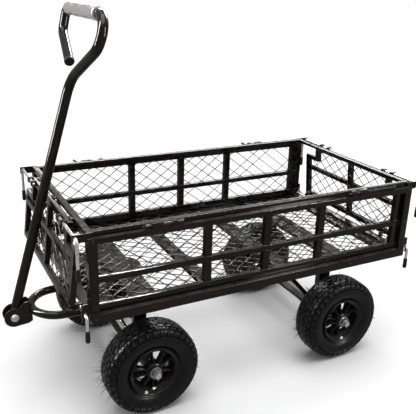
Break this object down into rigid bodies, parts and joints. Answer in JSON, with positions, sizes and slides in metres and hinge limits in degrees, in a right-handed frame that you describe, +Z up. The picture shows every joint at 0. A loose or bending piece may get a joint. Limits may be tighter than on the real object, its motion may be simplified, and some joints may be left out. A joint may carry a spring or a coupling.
{
  "type": "garden cart",
  "caption": "Steel mesh garden cart with lift-off mesh sides, end gates held by latch rods, steered front axle, folding loop handle and pneumatic tyres.",
  "frame": {"origin": "on the ground under the middle of the overall length and width", "axes": "+X towards the pull handle, +Y to the cart's left, +Z up"},
  "size_m": [1.1533, 0.594, 1.0168],
  "materials": {
    "black_coat": "gloss black powder coat",
    "black_mesh": "gloss black powder coat on expanded mesh",
    "zinc": "bright zinc plate",
    "tyre": "matt black moulded rubber",
    "tube_rubber": "smooth black butyl",
    "rim_black": "semi-gloss black paint",
    "bearing_steel": "ground steel",
    "grip_silver": "gloss silver-grey sleeve",
    "cap_rubber": "matt black plug"
  },
  "bodies": {
    "bed": {"bed_frame": "black_coat", "floor_straps": "black_coat", "floor_mesh": "black_mesh", "front_crossmember": "black_coat", "kingpin": "zinc", "rear_axle_supports": "black_coat", "rear_braces": "black_coat", "rear_axle": "zinc", "rear_axle_nuts": "zinc", "front_gate_frame": "black_coat", "front_gate_mesh": "black_mesh", "front_gate_brackets": "black_coat", "rear_gate_frame": "black_coat", "rear_gate_mesh": "black_mesh", "rear_gate_brackets": "black_coat"},
    "front_carriage": {"carriage_frame": "black_coat", "turntable_plate": "black_coat", "tongue_loop": "black_coat", "yoke": "black_coat", "yoke_bolt": "zinc", "front_axle": "zinc", "front_axle_nuts": "zinc"},
    "handle": {"handle_tube": "black_coat", "handle_grip": "grip_silver", "handle_cap": "cap_rubber"},
    "left_side": {"left_side_frame": "black_coat", "left_side_mesh": "black_mesh", "left_bolt_brackets": "black_coat"},
    "left_front_wheel": {"left_front_tyre": "tyre", "left_front_tube": "tube_rubber", "left_front_rim": "rim_black", "left_front_bearings": "bearing_steel"},
    "left_front_slide_bolt": {"left_front_bolt": "zinc"},
    "front_left_top_latch": {"front_left_top_rod": "zinc"},
    "front_left_low_latch": {"front_left_low_rod": "zinc"},
    "left_rear_wheel": {"left_rear_tyre": "tyre", "left_rear_tube": "tube_rubber", "left_rear_rim": "rim_black", "left_rear_bearings": "bearing_steel"},
    "left_rear_slide_bolt": {"left_rear_bolt": "zinc"},
    "rear_left_top_latch": {"rear_left_top_rod": "zinc"},
    "rear_left_low_latch": {"rear_left_low_rod": "zinc"},
    "right_side": {"right_side_frame": "black_coat", "right_side_mesh": "black_mesh", "right_bolt_brackets": "black_coat"},
    "right_front_wheel": {"right_front_tyre": "tyre", "right_front_tube": "tube_rubber", "right_front_rim": "rim_black", "right_front_bearings": "bearing_steel"},
    "right_front_slide_bolt": {"right_front_bolt": "zinc"},
    "front_right_top_latch": {"front_right_top_rod": "zinc"},
    "front_right_low_latch": {"front_right_low_rod": "zinc"},
    "right_rear_wheel": {"right_rear_tyre": "tyre", "right_rear_tube": "tube_rubber", "right_rear_rim": "rim_black", "right_rear_bearings": "bearing_steel"},
    "right_rear_slide_bolt": {"right_rear_bolt": "zinc"},
    "rear_right_top_latch": {"rear_right_top_rod": "zinc"},
    "rear_right_low_latch": {"rear_right_low_rod": "zinc"}
  },
  "joints": [
    {"name": "carriage_steer", "type": "hinge", "parent": "bed", "child": "front_carriage", "pos_m": [0.252, 0, 0.304], "axis": [0, 0, 1], "range_deg": [-8, 8]},
    {"name": "handle_fold", "type": "hinge", "parent": "front_carriage", "child": "handle", "pos_m": [0.549, 0, 0.224], "axis": [0, 1, 0], "range_deg": [0, 118]},
    {"name": "left_side_lift", "type": "slide", "parent": "bed", "child": "left_side", "axis": [0, 0, 1], "range_m": [0, 0.24]},
    {"name": "left_front_wheel_spin", "type": "hinge", "parent": "front_carriage", "child": "left_front_wheel", "pos_m": [0.252, 0.232, 0.127], "axis": [0, 1, 0], "continuous": true},
    {"name": "left_front_bolt_draw", "type": "slide", "parent": "left_side", "child": "left_front_slide_bolt", "axis": [1, 0, 0], "range_m": [0, 0.02]},
    {"name": "front_left_top_latch_draw", "type": "slide", "parent": "bed", "child": "front_left_top_latch", "axis": [0, 1, 0], "range_m": [0, 0.025]},
    {"name": "front_left_low_latch_draw", "type": "slide", "parent": "bed", "child": "front_left_low_latch", "axis": [0, 1, 0], "range_m": [0, 0.025]},
    {"name": "left_rear_wheel_spin", "type": "hinge", "parent": "bed", "child": "left_rear_wheel", "pos_m": [-0.357, 0.232, 0.127], "axis": [0, 1, 0], "continuous": true},
    {"name": "left_rear_bolt_draw", "type": "slide", "parent": "left_side", "child": "left_rear_slide_bolt", "axis": [1, 0, 0], "range_m": [0, 0.025]},
    {"name": "rear_left_top_latch_draw", "type": "slide", "parent": "bed", "child": "rear_left_top_latch", "axis": [0, 1, 0], "range_m": [0, 0.025]},
    {"name": "rear_left_low_latch_draw", "type": "slide", "parent": "bed", "child": "rear_left_low_latch", "axis": [0, 1, 0], "range_m": [0, 0.025]},
    {"name": "right_side_lift", "type": "slide", "parent": "bed", "child": "right_side", "axis": [0, 0, 1], "range_m": [0, 0.24]},
    {"name": "right_front_wheel_spin", "type": "hinge", "parent": "front_carriage", "child": "right_front_wheel", "pos_m": [0.252, -0.232, 0.127], "axis": [0, 1, 0], "continuous": true},
    {"name": "right_front_bolt_draw", "type": "slide", "parent": "right_side", "child": "right_front_slide_bolt", "axis": [1, 0, 0], "range_m": [0, 0.02]},
    {"name": "front_right_top_latch_draw", "type": "slide", "parent": "bed", "child": "front_right_top_latch", "axis": [0, -1, 0], "range_m": [0, 0.025]},
    {"name": "front_right_low_latch_draw", "type": "slide", "parent": "bed", "child": "front_right_low_latch", "axis": [0, -1, 0], "range_m": [0, 0.025]},
    {"name": "right_rear_wheel_spin", "type": "hinge", "parent": "bed", "child": "right_rear_wheel", "pos_m": [-0.357, -0.232, 0.127], "axis": [0, 1, 0], "continuous": true},
    {"name": "right_rear_bolt_draw", "type": "slide", "parent": "right_side", "child": "right_rear_slide_bolt", "axis": [1, 0, 0], "range_m": [0, 0.025]},
    {"name": "rear_right_top_latch_draw", "type": "slide", "parent": "bed", "child": "rear_right_top_latch", "axis": [0, -1, 0], "range_m": [0, 0.025]},
    {"name": "rear_right_low_latch_draw", "type": "slide", "parent": "bed", "child": "rear_right_low_latch", "axis": [0, -1, 0], "range_m": [0, 0.025]}
  ]
}
